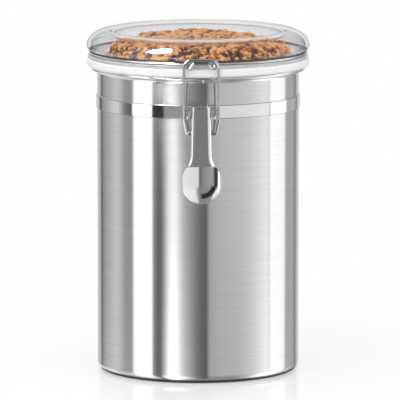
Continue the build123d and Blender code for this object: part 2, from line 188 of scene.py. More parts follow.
# Painted shadow: the lip under the rim is near black.
LIP_SHADOW_COLOUR = (0.03, 0.03, 0.035)
RIDGE_DULLER = 0.88
RIDGE_GLOW_SHARE = 0.5
CLEAR_TINT = (0.985, 0.985, 0.99, 1)
SATIN_TINT = (0.93, 0.93, 0.94, 1)
RIDGE_TINT = (0.95, 0.95, 0.97, 1)

# Gloss of the clear lid, which grows to its full share where the lid is edge on
GRAZING_POWER = 5.0
GRAZING_SHARE = 0.96
# Metal closer to the clear lid than this, in metres, mirrors it through a dark grey, as painted shade
METAL_REACH = 0.012
SHADE_BY_METAL = 0.12

# Camera at the photograph's viewing angle, the lamp over the jar and the pale light from all round
CAMERA_PLACE = (-0.094, -3.362, 0.582)
CAMERA_AIM = (0.0012, 0.0, 0.107)
CAMERA_LENS = 484.0
CAMERA_SENSOR = 36.0
CAMERA_FAR = 100.0
LAMP_PLACE = (-0.6, -0.9, 1.6)
LAMP_AIM = (0, 0, 0.15)
LAMP_SIZE = 0.8
LAMP_WATTS = 5.0
WORLD_LIGHT = 0.93

# Floor, just under the jar. From the fade's radius to its rim it turns into plain white.
DISC_STEPS = 96
FLOOR_R = 0.3
FLOOR_FADE_R = 0.1
FLOOR_Z = -0.0001
FLOOR_GREY = (0.5, 0.5, 0.5, 1)
FLOOR_GLOW = 0.59
FLOOR_MIRROR = 0.26
WHITE = (1, 1, 1, 1)

# Ring of cards round the jar: azimuth in degrees from the camera side, positive to its right, and radiance.
# The level row is what upright polished metal shows, with the table row below it and the high row above.
RING_HIGH = [
    (-180, 1.0), (-150, 1.0), (-130, 1.3), (-105, 0.9), (-84, 1.0), (-80, 2.0), (-57, 2.0), (-53, 0.8),
    (-42, 0.9), (-38, 0.28), (-5, 0.26), (10, 0.22), (24, 0.85), (60, 0.95), (86, 1.2), (88, 1.8),
    (116, 1.8), (119, 0.9), (135, 0.9), (145, 0.3), (152, 0.9), (180, 1.0),
]
RING_LEVEL = [
    (-180, 0.7), (-150, 0.6), (-148, 0.1), (-143, 0.1), (-140, 0.3), (-122, 0.48), (-110, 0.73),
    (-103, 0.73), (-92, 0.23), (-80.5, 0.07), (-79.5, 1.6), (-55, 1.6), (-54, 0.035), (-41, 0.035),
    (-39, 0.33), (-22, 0.33), (-5, 0.27), (8, 0.13), (11, 0.74), (30, 0.78), (60, 0.86), (84, 1.0),
    (85, 0.7), (87, 0.7), (88, 1.4), (114.5, 1.4), (116.5, 0.45), (135, 0.52), (143, 0.3), (147, 0.3),
    (152, 0.7), (180, 0.7),
]
RING_TABLE = [
    (-180, 1.1), (-150, 1.1), (-146, 0.8), (-130, 1.3), (-105, 0.8), (-84, 1.0), (-80, 1.8), (-57, 1.8),
    (-54, 0.2), (-46, 0.2), (-39, 2.5), (-35, 5.0), (-28, 5.0), (-23, 2.9), (-18, 1.7), (-13, 1.2),
    (-8, 0.7), (-3, 0.3), (8, 0.05), (11, 0.3), (45, 0.35), (60, 0.7), (73, 1.3), (85, 2.2), (91, 1.8),
    (112, 1.8), (117, 0.8), (135, 0.9), (145, 0.3), (152, 0.5), (180, 0.5),
]
# Heights between which one row gives way to the next; below the table row the ring is one grey
LOW_EDGE = (-2.8, -1.8)
LOW_RADIANCE = 0.5
TABLE_EDGE = (-0.49, -0.41)
HIGH_EDGE = (0.03, 0.45)
RING_R = 2.0
RING_HEIGHTS = (-7.0, 7.4)
RING_STEPS = 180

# Dark arch on the ring, as the thumb pad shows it: from its centre it lies at a fixed angle from its axis
ARCH_CENTRE = (0.0, -0.072, 0.127)
ARCH_AXIS = (0.0, -0.99, -0.139)
ARCH_COSINES = (0.62, 0.84)
ARCH_COSINE_SOFT = 0.02
ARCH_AZIMUTHS = (-52, 4)
ARCH_AZIMUTH_SOFT = 0.01
ARCH_FOOT_SOFT = 0.08
ARCH_RADIANCE = 0.02

# Bright key card on a ball about a point of the lid's rim, with its middle and half sizes in degrees
KEY_CENTRE = (-0.025, -0.064, 0.209)
KEY_R = 0.08
KEY_TURN, KEY_TURN_REACH = -48, 23
KEY_RISE, KEY_RISE_REACH = 41, 30
KEY_STEPS = 48
KEY_RADIANCE = 30.0

# Dark card right under the jar, a painted shade where the base meets the floor
CONTACT_R = 0.064
CONTACT_Z = -0.0004
CONTACT_SHADE_RADIANCE = 0.06


# Mesh helpers
def arc(cx, cz, radius, start, end, steps, high=None):
    """Points of an arc about (cx, cz) between two angles in degrees; high is a different upright radius."""
    turns = [radians(start + (end - start) * i / steps) for i in range(steps + 1)]
    return [(cx + radius * cos(t), cz + (high or radius) * sin(t)) for t in turns]


def rounded(points, radii, steps=5):
    """Closed profile with an arc of the given radius at each corner; a radius of 0 keeps the corner."""
    made = []
    count = len(points)
    for i, (corner, radius) in enumerate(zip(points, radii)):
        corner = Vector(corner)
        if radius == 0:
            made.append(tuple(corner))
            continue
        before = (Vector(points[i - 1]) - corner).normalized()
        after = (Vector(points[(i + 1) % count]) - corner).normalized()
        half = before.angle(after) / 2
        reach = radius / tan(half)
        centre = corner + (before + after).normalized() * (radius / sin(half))
        first = corner + before * reach - centre
        last = corner + after * reach - centre
        turn = atan2(first.x * last.y - first.y * last.x, first.dot(last))
        for k in range(steps + 1):
            a = turn * k / steps
            made.append((
                centre.x + first.x * cos(a) - first.y * sin(a),
                centre.y + first.x * sin(a) + first.y * cos(a),
            ))
    return made


def held(profile):
    """Closed profile with points near the ends of its long runs, so that smooth normals stay level there."""
    made = []
    for start, end in zip(profile, profile[1:] + profile[:1]):
        made.append(start)
        run = Vector(end) - Vector(start)
        if run.length > LONG_RUN:
            step = run.normalized() * HOLD_REACH
            made += [tuple(Vector(start) + step), tuple(Vector(end) - step)]
    return made


def in_scene(name, data):
    """New object of the scene, made of a mesh, a lamp or a camera."""
    made = bpy.data.objects.new(name, data)
    bpy.context.scene.collection.objects.link(made)
    return made


def new_piece(name, verts, faces, body, material, stands_for=(), sharp=SHARP_EDGE):
    """Mesh object from vertices in millimetres, smooth apart from edges sharper than the given angle."""
    mesh = bpy.data.meshes.new(name)
    mesh.from_pydata([tuple(c * MM for c in v) for v in verts], [], faces)
    mesh.update()
    bm = bmesh.new()
    bm.from_mesh(mesh)
    bmesh.ops.recalc_face_normals(bm, faces=bm.faces)
    bm.to_mesh(mesh)
    bm.free()
    mesh.shade_smooth()
    mesh.set_sharp_from_angle(angle=radians(sharp))
    mesh.materials.append(material)
    piece = in_scene(name, mesh)
    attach(piece, body)
    if stands_for:
        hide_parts(*stands_for)
    return piece


def turned(name, profile, body, material, stands_for, sharp=SHARP_EDGE):
    """Closed profile of (r, z) turned about the jar's axis. Points on the axis become one vertex."""
    verts, rings = [], []
    for r, z in held(profile):
        if r < ON_AXIS:
            rings.append([len(verts)] * TURN_STEPS)
            verts.append((0, 0, z))
            continue
        rings.append(list(range(len(verts), len(verts) + TURN_STEPS)))
        for i in range(TURN_STEPS):
            a = 2 * pi * i / TURN_STEPS
            verts.append((r * sin(a), -r * cos(a), z))
    faces = []
    for lower, upper in zip(rings, rings[1:] + rings[:1]):
        if lower[0] == lower[1] and upper[0] == upper[1]:
            continue
        for i in range(TURN_STEPS):
            j = (i + 1) % TURN_STEPS
            corners = (lower[i], lower[j], upper[j], upper[i])
            faces.append(tuple(dict.fromkeys(corners)))
    return new_piece(name, verts, faces, body, material, stands_for, sharp)


# Node helpers
def new_material(name):
    """Material with a Principled shader, and the node tree and shader to work on."""
    material = bpy.data.materials.new(name)
    material.use_nodes = True
    tree = material.node_tree
    return material, tree, tree.nodes["Principled BSDF"]


def bare_material(name):
    """Material with nothing but its output, and the node tree to work on."""
    material, tree, shader = new_material(name)
    tree.nodes.remove(shader)
    return material, tree


def show(tree, shader):
    """Make a shader the surface of its material."""
    tree.links.new(shader.outputs[0], tree.nodes["Material Output"].inputs["Surface"])


def set_inputs(made, **values):
    """Set input values of a node; an underscore stands for a space in a name."""
    for key, value in values.items():
        made.inputs[key.replace("_", " ")].default_value = value


def node(tree, kind, **values):
    """New node of a kind with input values."""
    made = tree.nodes.new(kind)
    set_inputs(made, **values)
    return made


def feed(tree, sockets, values):
    """Give sockets in turn a plain value or the output of another node."""
    for socket, value in zip(sockets, values):
        if isinstance(value, bpy.types.NodeSocket):
            tree.links.new(value, socket)
        else:
            socket.default_value = value


def maths(tree, operation, *values, clamped=False):
    """Result of an operation on values or outputs."""
    made = node(tree, "ShaderNodeMath")
    made.operation = operation
    made.use_clamp = clamped
    feed(tree, made.inputs, values)
    return made.outputs[0]


def vector_maths(tree, operation, *values):
    """Node with the result of an operation on vectors."""
    made = node(tree, "ShaderNodeVectorMath")
    made.operation = operation
    feed(tree, made.inputs, values)
    return made


def graded(tree, value, start, end, low=0.0, high=1.0):
    """Value that runs from low to high while another runs from start to end."""
    made = node(tree, "ShaderNodeMapRange", From_Min=start, From_Max=end, To_Min=low, To_Max=high)
    tree.links.new(value, made.inputs["Value"])
    return made.outputs["Result"]


def spread(tree, noise_value, low, high):
    """Noise spread over a range of values."""
    return graded(tree, noise_value, NOISE_LOW, NOISE_HIGH, low, high)


def window(tree, value, low, high, soft):
    """1 between the low and high value and 0 outside, with soft edges."""
    rising = graded(tree, value, low, low + soft)
    falling = graded(tree, value, high - soft, high, 1.0, 0.0)
    return maths(tree, "MULTIPLY", rising, falling)


def grain(tree, scale, detail=3.0, roughness=0.55):
    """Noise over the piece's own coordinates, scaled along each axis."""
    place = node(tree, "ShaderNodeTexCoord")
    mapping = node(tree, "ShaderNodeMapping", Scale=scale)
    tree.links.new(place.outputs["Object"], mapping.inputs["Vector"])
    made = node(tree, "ShaderNodeTexNoise", Scale=1.0, Detail=detail, Roughness=roughness)
    tree.links.new(mapping.outputs["Vector"], made.inputs["Vector"])
    return made.outputs["Fac"]


def grey(value):
    """Opaque colour of one grey."""
    return (value, value, value, 1)


def ramp(tree, factor, stops):
    """Colour ramp over a factor, from (position, grey or colour) stops."""
    made = tree.nodes.new("ShaderNodeValToRGB")
    while len(made.color_ramp.elements) < len(stops):
        made.color_ramp.elements.new(0.5)
    for element, (position, value) in zip(made.color_ramp.elements, stops):
        element.position = position
        element.color = (*value, 1) if isinstance(value, tuple) else grey(value)
    tree.links.new(factor, made.inputs["Fac"])
    return made.outputs["Color"]


def bump(tree, shader, height, strength, distance):
    """Bump from a height, as deep as a distance in metres."""
    made = node(tree, "ShaderNodeBump", Strength=strength, Distance=distance)
    tree.links.new(height, made.inputs["Height"])
    tree.links.new(made.outputs["Normal"], shader.inputs["Normal"])


def mixed(tree, share, first, second):
    """Mix of two shaders, with the share of the second as a value or an output."""
    mix = node(tree, "ShaderNodeMixShader")
    feed(tree, mix.inputs, (share, first.outputs[0], second.outputs[0]))
    return mix


def mixed_colour(tree, share, first, second):
    """Mix of two colours, with the share of the second as an output."""
    mix = node(tree, "ShaderNodeMix")
    mix.data_type = "RGBA"
    colours = [socket for socket in mix.inputs if socket.type == "RGBA"]
    feed(tree, (mix.inputs[0], *colours), (share, first, second))
    return [socket for socket in mix.outputs if socket.type == "RGBA"][0]


def through_rays(tree):
    """1 for the shadow and diffuse rays, which pass clear plastic so that what it covers is lit."""
    path = node(tree, "ShaderNodeLightPath").outputs
    return maths(tree, "MAXIMUM", path["Is Shadow Ray"], path["Is Diffuse Ray"])


def seen_rays(tree):
    """1 for rays from the camera and those that metal and clear plastic send on."""
    path = node(tree, "ShaderNodeLightPath").outputs
    seen = maths(tree, "MAXIMUM", path["Is Camera Ray"], path["Is Glossy Ray"])
    return maths(tree, "MAXIMUM", seen, path["Is Transmission Ray"])


def rays_by_metal(tree):
    """1 for the rays from metal that meet clear plastic close to it."""
    path = node(tree, "ShaderNodeLightPath").outputs
    close = maths(tree, "LESS_THAN", path["Ray Length"], METAL_REACH)
    return maths(tree, "MULTIPLY", path["Is Glossy Ray"], close)


def show_clear(tree, shader, tint):
    """Make a shader the surface, and plain tinted clearness for the rays that light what it covers."""
    clear = node(tree, "ShaderNodeBsdfTransparent", Color=tint)
    show(tree, mixed(tree, through_rays(tree), shader, clear))


# Materials
def brushed_steel(name):
    """Steel brushed round the axis: sharp across the brushing, drawn out along it."""
    material, tree, shader = new_material(name)
    set_inputs(shader, Metallic=1.0, Anisotropic=1.0, Anisotropic_Rotation=0.25)
    round_axis = node(tree, "ShaderNodeTangent")
    round_axis.direction_type = "RADIAL"
    round_axis.axis = "Z"
    tree.links.new(round_axis.outputs["Tangent"], shader.inputs["Tangent"])
    fine = grain(tree, BRUSH_FINE, detail=2.0)
    wide = grain(tree, BRUSH_WIDE, detail=3.0, roughness=0.7)
    tree.links.new(ramp(tree, wide, BRUSHED_TONES), shader.inputs["Base Color"])
    tree.links.new(spread(tree, wide, low=0.185, high=0.2), shader.inputs["Roughness"])
    bump(tree, shader, fine, strength=0.012, distance=0.00003)
    return material


def polished_steel(name, tint, rough, wear):
    """Polished steel with faint cloudy wear and short fine scratches."""
    material, tree, shader = new_material(name)
    set_inputs(shader, Metallic=1.0)
    clouds = grain(tree, WEAR_CLOUDS, detail=4.0)
    scratches = grain(tree, WEAR_SCRATCHES, detail=2.0)
    tones = [(NOISE_LOW, tint - WEAR_DARKER), (NOISE_HIGH, tint)]
    tree.links.new(ramp(tree, clouds, tones), shader.inputs["Base Color"])
    tree.links.new(spread(tree, scratches, rough, rough + wear), shader.inputs["Roughness"])
    bump(tree, shader, scratches, strength=0.04, distance=0.00003)
    return material


def clear_acrylic(name, tones, gloss_share, level_share):
    """Clear moulded sheet: mostly seen straight through, with painted shade deepening its tone and more
    gloss where it is edge on.
    """
    material, tree = bare_material(name)
    edge_on = node(tree, "ShaderNodeLayerWeight", Blend=0.5).outputs["Facing"]
    straight = node(tree, "ShaderNodeBsdfTransparent")
    # The tone deepens edge on as painted shade.
    tree.links.new(ramp(tree, edge_on, tones), straight.inputs["Color"])
    gloss = node(tree, "ShaderNodeBsdfAnisotropic")
    haze = grain(tree, LID_HAZE, detail=4.0)
    tree.links.new(spread(tree, haze, low=0.045, high=0.07), gloss.inputs["Roughness"])
    grazing = maths(tree, "POWER", edge_on, GRAZING_POWER)
    share = maths(tree, "MULTIPLY_ADD", grazing, GRAZING_SHARE * gloss_share, level_share, clamped=True)
    sheet = mixed(tree, share, straight, gloss)
    # Painted shade: metal close by sees the plastic as a dark grey.
    metal_shade = node(tree, "ShaderNodeBsdfTransparent", Color=grey(SHADE_BY_METAL))
    show_clear(tree, mixed(tree, rays_by_metal(tree), sheet, metal_shade), CLEAR_TINT)
    return material


def satin_acrylic(name, low, high):
    """Milky moulded edge of the clear lid, between two tones."""
    material, tree, shader = new_material(name)
    streaks = grain(tree, SATIN_STREAKS, detail=4.0)
    tones = [(0.35, (low, low, low + SATIN_BLUE)), (0.65, (high, high, high + SATIN_BLUE))]
    tree.links.new(ramp(tree, streaks, tones), shader.inputs["Base Color"])
    set_inputs(shader, IOR=1.49, Transmission_Weight=0.2)
    haze = grain(tree, SATIN_HAZE, detail=4.0)
    tree.links.new(spread(tree, haze, low=0.25, high=0.35), shader.inputs["Roughness"])
    show_clear(tree, shader, SATIN_TINT)
    return material


def painted_line_acrylic(name, colour, clear_share):
    """Sharp moulded line of the lid in a painted colour, white for a painted highlight and near black for a
    painted shadow, with some light let through from behind.
    """
    material, tree, shader = new_material(name)
    haze = grain(tree, RIDGE_HAZE, detail=3.0)
    dull = tuple(RIDGE_DULLER * part for part in colour)
    tones = [(NOISE_LOW, dull), (NOISE_HIGH, colour)]
    tree.links.new(ramp(tree, haze, tones), shader.inputs["Base Color"])
    set_inputs(shader, Roughness=0.3)
    lit_behind = node(tree, "ShaderNodeBsdfTranslucent", Color=(*colour, 1))
    painted_line_shader = mixed(tree, RIDGE_GLOW_SHARE, shader, lit_behind)
    clear = node(tree, "ShaderNodeBsdfTransparent", Color=RIDGE_TINT)
    show(tree, mixed(tree, clear_share, painted_line_shader, clear))
    return material


def milky_silicone(name):
    """Soft translucent white rubber."""
    material, tree, shader = new_material(name)
    clouds = grain(tree, SEAL_CLOUDS, detail=3.0)
    tree.links.new(ramp(tree, clouds, SEAL_TONES), shader.inputs["Base Color"])
    tree.links.new(spread(tree, clouds, low=0.3, high=0.4), shader.inputs["Roughness"])
    set_inputs(shader, Subsurface_Weight=0.5, Subsurface_Radius=(1.0, 1.0, 1.0), Subsurface_Scale=0.002)
    set_inputs(shader, Specular_IOR_Level=0.5)
    return material


def brown_sugar(name):
    """Golden damp sugar with painted shade in the hollows and painted light on the clods, and the glint of
    single grains.
    """
    material, tree, shader = new_material(name)
    painted_light = node(tree, "ShaderNodeAttribute")
    painted_light.attribute_name = "painted_light"
    specks = grain(tree, SUGAR_SPECKS, detail=2.0)
    mottle = grain(tree, SUGAR_MOTTLE, detail=4.0, roughness=0.7)
    # Painted light and shade from the points, with random mottle, pick the sugar's tone.
    lit = maths(tree, "MULTIPLY_ADD", mottle, MOTTLE_SHARE, painted_light.outputs["Fac"])
    tree.links.new(ramp(tree, lit, SUGAR_TONES), shader.inputs["Base Color"])
    tree.links.new(spread(tree, specks, low=0.35, high=0.75), shader.inputs["Roughness"])
    set_inputs(shader, Subsurface_Weight=0.1, Subsurface_Radius=(1.0, 0.45, 0.2), Subsurface_Scale=0.0015)
    bump(tree, shader, specks, strength=0.6, distance=0.0004)
    return material


# Round pieces
def make_shell(material):
    """Drawn wall and base with a pressed ring below and a flared rim with a rolled bead above."""
    bead_x, bead_z = RIM_R - RIM_BEAD_R, RIM_TOP_Z - RIM_BEAD_R
    flare_x = bead_x - RIM_LEVEL_RUN
    flare = flare_x - BODY_R
    flare_in = flare + WALL
    corner_x = BODY_R - BASE_CORNER_R
    outline = list(BASE_RING_UNDER)
    outline += arc(corner_x, BASE_CORNER_R, BASE_CORNER_R, -90, 0, steps=16)
    outline += arc(flare_x, bead_z - RIM_BEAD_R - flare, flare, 180, 90, steps=8)
    outline += arc(bead_x, bead_z, RIM_BEAD_R, -90, 90, steps=12)
    outline += arc(flare_x, RIM_TOP_Z - flare_in, flare_in, 90, 180, steps=8)
    outline += arc(corner_x, BASE_CORNER_R, BASE_CORNER_R - WALL, 0, -90, steps=12)
    outline += BASE_RING_INSIDE
    turned("steel_canister", outline, "canister", material, ["canister_shell"])


def make_band(material, edge):
    """Flat polished strap, its outer edges rolled slightly and given dark steel as painted shade."""
    points = [
        (BODY_R, BAND_LOW_Z), (BODY_R + BAND_T, BAND_LOW_Z),
        (BODY_R + BAND_T, BAND_HIGH_Z), (BODY_R, BAND_HIGH_Z),
    ]
    outline = rounded(points, [0, BAND_EDGE_R, BAND_EDGE_R, 0])
    strap = turned("neck_strap", outline, "canister", material, ["neck_band"])
    strap.data.materials.append(edge)
    # The edge zones get the dark steel, a painted shade.
    for face in strap.data.polygons:
        if not BAND_LOW_Z + BAND_EDGE_HIGH < face.center.z / MM < BAND_HIGH_Z - BAND_EDGE_HIGH:
            face.material_index = 1


def make_seal(material):
    """Seal stretched over the plug, with a lip that drops outside the rim bead."""
    low = RIM_TOP_Z + SEAL_LIFT
    points = [
        (PLUG_R, FLANGE_LOW_Z), (PLUG_R, low), (SEAL_LIP_IN_R, low), (SEAL_LIP_IN_R, low - SEAL_LIP_DROP),
        (SEAL_LIP_OUT_R, low - SEAL_LIP_DROP), (SEAL_R, low + SEAL_SIDE_RISE), (SEAL_R, FLANGE_LOW_Z),
    ]
    outline = rounded(points, SEAL_CORNERS)
    turned("lid_seal", outline, "lid", material, ["lid_gasket"])


def lid_crest():
    """Points from the crest of the rim inwards and down its foot to the edge of the sunk panel."""
    turn = acos((CREST_R - (LID_TOP_Z - PANEL_Z)) / CREST_R)
    turns = [turn * k / CREST_STEPS for k in range(1, CREST_STEPS)]
    crest = [(CREST_X - CREST_R * sin(t), LID_TOP_Z - CREST_R * (1 - cos(t))) for t in turns]
    end_r = crest[-1][0]
    panel_r = end_r - FOOT_WIDE
    upper = (end_r - FOOT_UPPER[0], PANEL_Z + FOOT_UPPER[1])
    lower = (panel_r + FOOT_LOWER[0], PANEL_Z + FOOT_LOWER[1])
    return crest + [upper, lower, (panel_r, PANEL_Z)]


def lid_outline(crest):
    """Profile of the whole lid, which is one sheet from the plug to the panel."""
    points = [
        (PLUG_IN_R, PLUG_LOW_Z), (PLUG_R, PLUG_LOW_Z), (PLUG_R, FLANGE_LOW_Z), (FLANGE_R, FLANGE_LOW_Z),
        (FLANGE_R, FLANGE_HIGH_Z), (GROOVE_R, FLANGE_HIGH_Z), (GROOVE_R, LIP_Z), (LIP_R, LIP_Z),
    ]
    outline = rounded(points, LID_CORNERS, steps=4)
    outline += arc(LID_R - BELLY_R, SHOULDER_Z, BELLY_R, BELLY_START, 0, steps=12)
    outline += arc(CREST_X, SHOULDER_Z, SHOULDER_WIDE, SHOULDER_START, 90, steps=32, high=SHOULDER_HIGH)
    outline += crest
    outline += [(0, PANEL_Z), (0, PANEL_Z - LID_WALL), (PANEL_UNDER_R, PANEL_Z - LID_WALL)]
    outline += arc(
        CREST_X, SHOULDER_Z, SHOULDER_WIDE - LID_WALL, 90, SHOULDER_START,
        steps=24, high=SHOULDER_HIGH - LID_WALL,
    )
    outline += arc(LID_R - BELLY_R, SHOULDER_Z, BELLY_R - LID_WALL, 0, BELLY_START_INSIDE, steps=6)
    outline += rounded(NECK_INSIDE, NECK_CORNERS, steps=4)
    return outline


def lid_zone(centre, panel_r):
    """Material of the lid at the centre of a face, by its radius, its height and its side."""
    r, z = Vector(centre[:2]).length / MM, centre.z / MM
    behind = centre.y > 0
    inner_slope = panel_r < r < CREST_X and z > PANEL_Z - PANEL_SLACK
    # Painted shade along the fold on the far side.
    if inner_slope and behind and z < PANEL_Z + FOLD_HIGH:
        return FOLD
    # Painted highlight along the ridge, taller on the near side.
    if inner_slope and z < PANEL_Z + (RIDGE_HIGH if behind else NEAR_RIDGE_HIGH):
        return RIDGE
    # Painted shadow on the lip under the rim, over the wire groove.
    if r > LIP_ZONE_R and LIP_ZONE_Z < z < LIP_Z + LIP_HIGH:
        return LIP
    if NECK_ZONE_IN_R < r < NECK_ZONE_OUT_R and z < NECK_ZONE_Z:
        return NECK
    if r > NECK_ZONE_IN_R and z < LIP_Z:
        return FLANGE
    return RIM if r > panel_r else PANEL


def make_lid(materials):
    """Clear lid: plug, flange, wire groove, hollow round rim and a sunk flat panel."""
    crest = lid_crest()
    panel_r = crest[-1][0]
    cover = turned(
        "clear_cover", lid_outline(crest), "lid", materials[PANEL], ["clear_lid"],
        LID_SHARP_EDGE,
    )
    for material in materials[1:]:
        cover.data.materials.append(material)
    for face in cover.data.polygons:
        face.material_index = lid_zone(face.center, panel_r)


# Sugar
def smooth_noise(place, size, shift):
    """Smooth noise at a size in millimetres, from about -1 to 1."""
    return noise.noise((place + Vector(shift)) / size, noise_basis="PERLIN_ORIGINAL")


def clods(place, size):
    """Rounded clods of a size: how high a place is on one and how clear of its gaps, from 0 to 1."""
    near, far = noise.voronoi(place / size)[0][:2]
    return max(0.0, 1 - CLOD_ROUNDNESS * near * near), min(1.0, (far - near) * GAP_SHARPNESS)


def sugar_point(base, normal):
    """Place of the crumbled surface over a point of the smooth heap, and the painted light for its colour.
    """
    warp = Vector((smooth_noise(base, *WARP_X), smooth_noise(base, *WARP_Y), 0))
    warped = base + warp * WARP_REACH
    dome, clear = clods(warped, CLOD_SIZE)
    crumb, grains = smooth_noise(warped, *CRUMBS), smooth_noise(warped, *GRAINS)
    rolling = smooth_noise(base, *ROLLS)
    height = CLOD_HIGH * (dome - CLOD_MIDDLE) + CRUMB_HIGH * crumb
    height = height + GRAIN_HIGH * grains + ROLL_HIGH * rolling
    lit = SUGAR_SHADE + CLOD_LIT * dome + CLEAR_LIT * clear
    lit = lit + CRUMB_LIT * crumb + GRAIN_LIT * grains + ROLL_LIT * rolling
    place = base + normal * height
    place.z -= SUGAR_SIDE_FALL * (base.x / SUGAR_FLAT_R) ** 2
    reach = Vector(place[:2]).length
    if reach > SUGAR_MOST_R:
        place.x, place.y = place.x * SUGAR_MOST_R / reach, place.y * SUGAR_MOST_R / reach
    place.z = min(place.z, SUGAR_MOST_Z)
    return tuple(place), lit


def sugar_profile():
    """Rings of the smooth heap from its middle out, as radius, height and tilt of the normal."""
    rings = []
    for k in range(1, SUGAR_FLAT_RINGS + 1):
        rings.append((SUGAR_FLAT_R * k / SUGAR_FLAT_RINGS, SUGAR_TOP_Z, 0.0))
    for k in range(1, SUGAR_EDGE_RINGS + 1):
        t = pi / 2 * k / SUGAR_EDGE_RINGS
        tilt = atan2(sin(t) / SUGAR_EDGE_WIDE, cos(t) / SUGAR_EDGE_HIGH)
        z = SUGAR_TOP_Z - SUGAR_EDGE_HIGH * (1 - cos(t))
        rings.append((SUGAR_FLAT_R + SUGAR_EDGE_WIDE * sin(t), z, tilt))
    edge_r, edge_z, _ = rings[-1]
    for k in range(1, SUGAR_SIDE_RINGS + 1):
        rings.append((edge_r, edge_z - SUGAR_SIDE_STEP * k, pi / 2))
    return rings


def sugar_points(rings):
    """Crumbled points of the heap, each with the painted light for its colour: middle, rings and the floor's
    rim.
    """
    points = [sugar_point(Vector((0, 0, SUGAR_TOP_Z)), Vector((0, 0, 1)))]
    for radius, z, tilt in rings:
        for i in range(SUGAR_STEPS):
            a = 2 * pi * i / SUGAR_STEPS
            base = Vector((radius * sin(a), -radius * cos(a), z))
            normal = Vector((sin(tilt) * sin(a), -sin(tilt) * cos(a), cos(tilt)))
            points.append(sugar_point(base, normal))
    for (x, y, _), _ in points[-SUGAR_STEPS:]:
        points.append(((x, y, SUGAR_FLOOR_Z), SUGAR_FLOOR_LIT))
    return points


def sugar_faces(ring_count):
    """Faces of the closed heap: a fan at the middle, strips between the rings and one face below."""
    faces = [(0, 1 + i, 1 + (i + 1) % SUGAR_STEPS) for i in range(SUGAR_STEPS)]
    for ring in range(ring_count):
        start = 1 + ring * SUGAR_STEPS
        for i in range(SUGAR_STEPS):
            j = (i + 1) % SUGAR_STEPS
            faces.append((start + i, start + SUGAR_STEPS + i, start + SUGAR_STEPS + j, start + j))
    last = ring_count * SUGAR_STEPS
    faces.append(tuple(range(last + SUGAR_STEPS, last, -1)))
    return faces


def make_sugar(material):
    """Heaped sugar with a closed body below, which reaches down inside the jar."""
    rings = sugar_profile()
    points = sugar_points(rings)
    verts = [place for place, _ in points]
    faces = sugar_faces(len(rings))
    piece = new_piece("sugar_heap", verts, faces, "canister", material, sharp=SUGAR_SHARP_EDGE)
    # Painted light of each point, which the sugar's colour follows.
    attribute = piece.data.attributes.new("painted_light", "FLOAT", "POINT")
    attribute.data.foreach_set("value", [lit for _, lit in points])


# Studio
def aim(made, place, target):
    """Put a camera or lamp at a place and turn it to a target."""
    made.location = place
    made.rotation_euler = (Vector(target) - made.location).to_track_quat("-Z", "Y").to_euler()


def make_camera():
    """Long lens far off, as in the photograph."""
    data = bpy.data.cameras.new("camera")
    data.lens = CAMERA_LENS
    data.sensor_width = CAMERA_SENSOR
    data.clip_end = CAMERA_FAR
    camera = in_scene("camera", data)
    aim(camera, CAMERA_PLACE, CAMERA_AIM)
    bpy.context.scene.camera = camera


def make_lamp():
    """Square soft lamp over the jar, which metal and gloss don't show."""
    light = bpy.data.lights.new("top_box", "AREA")
    light.shape = "SQUARE"
    light.size = LAMP_SIZE
    light.energy = LAMP_WATTS
    lamp = in_scene("top_box", light)
    aim(lamp, LAMP_PLACE, LAMP_AIM)
    lamp.visible_glossy = False


def make_world():
    """Plain pale light from all round, which camera, metal and clear plastic see as white."""
    world = bpy.data.worlds.new("studio")
    bpy.context.scene.world = world
    world.use_nodes = True
    tree = world.node_tree
    tree.nodes.clear()
    white = node(tree, "ShaderNodeBackground", Color=WHITE)
    tree.links.new(graded(tree, seen_rays(tree), 0.0, 1.0, WORLD_LIGHT, 1.0), white.inputs["Strength"])
    out = node(tree, "ShaderNodeOutputWorld")
    tree.links.new(white.outputs[0], out.inputs["Surface"])


def disc(radius, z):
    """Points and the one face of a level disc."""
    turns = [2 * pi * i / DISC_STEPS for i in range(DISC_STEPS)]
    return [(radius * cos(a), radius * sin(a), z) for a in turns], [tuple(range(DISC_STEPS))]


def studio_mesh(name, verts, faces, material):
    """Mesh object of the studio, in metres."""
    mesh = bpy.data.meshes.new(name)
    mesh.from_pydata(verts, [], faces)
    mesh.materials.append(material)
    return in_scene(name, mesh)


def floor_material():
    """Pale sheet with a faint reflection of the jar; the rays that light the jar meet it as plain grey."""
    material, tree, shader = new_material("pale_floor")
    set_inputs(shader, Base_Color=FLOOR_GREY, Roughness=0.5, Specular_IOR_Level=0.0)
    set_inputs(shader, Emission_Color=WHITE, Emission_Strength=FLOOR_GLOW)
    mirror = node(tree, "ShaderNodeBsdfAnisotropic", Roughness=0.05)
    glossy = mixed(tree, FLOOR_MIRROR, shader, mirror)
    white = node(tree, "ShaderNodeEmission", Color=WHITE, Strength=1.0)
    place = node(tree, "ShaderNodeTexCoord")
    reach = vector_maths(tree, "LENGTH", place.outputs["Object"]).outputs["Value"]
    faded = mixed(tree, graded(tree, reach, FLOOR_FADE_R, FLOOR_R), glossy, white)
    matt = node(tree, "ShaderNodeBsdfDiffuse", Color=FLOOR_GREY)
    show(tree, mixed(tree, seen_rays(tree), matt, faded))
    return material


def make_floor():
    """Floor that keeps the jar's shadow, and that metal and gloss don't show."""
    verts, faces = disc(FLOOR_R, FLOOR_Z)
    floor = studio_mesh("studio_floor", verts, faces, floor_material())
    floor.visible_glossy = False


def only_in_gloss(card):
    """Keep a studio card to the reflections in metal and gloss."""
    card.visible_camera = False
    card.visible_diffuse = False
    card.visible_transmission = False
    card.visible_volume_scatter = False
    card.visible_shadow = False


def turn_share(azimuth):
    """Azimuth in degrees as a share of the whole turn from behind the jar round to behind it."""
    return (azimuth + 180) / 360


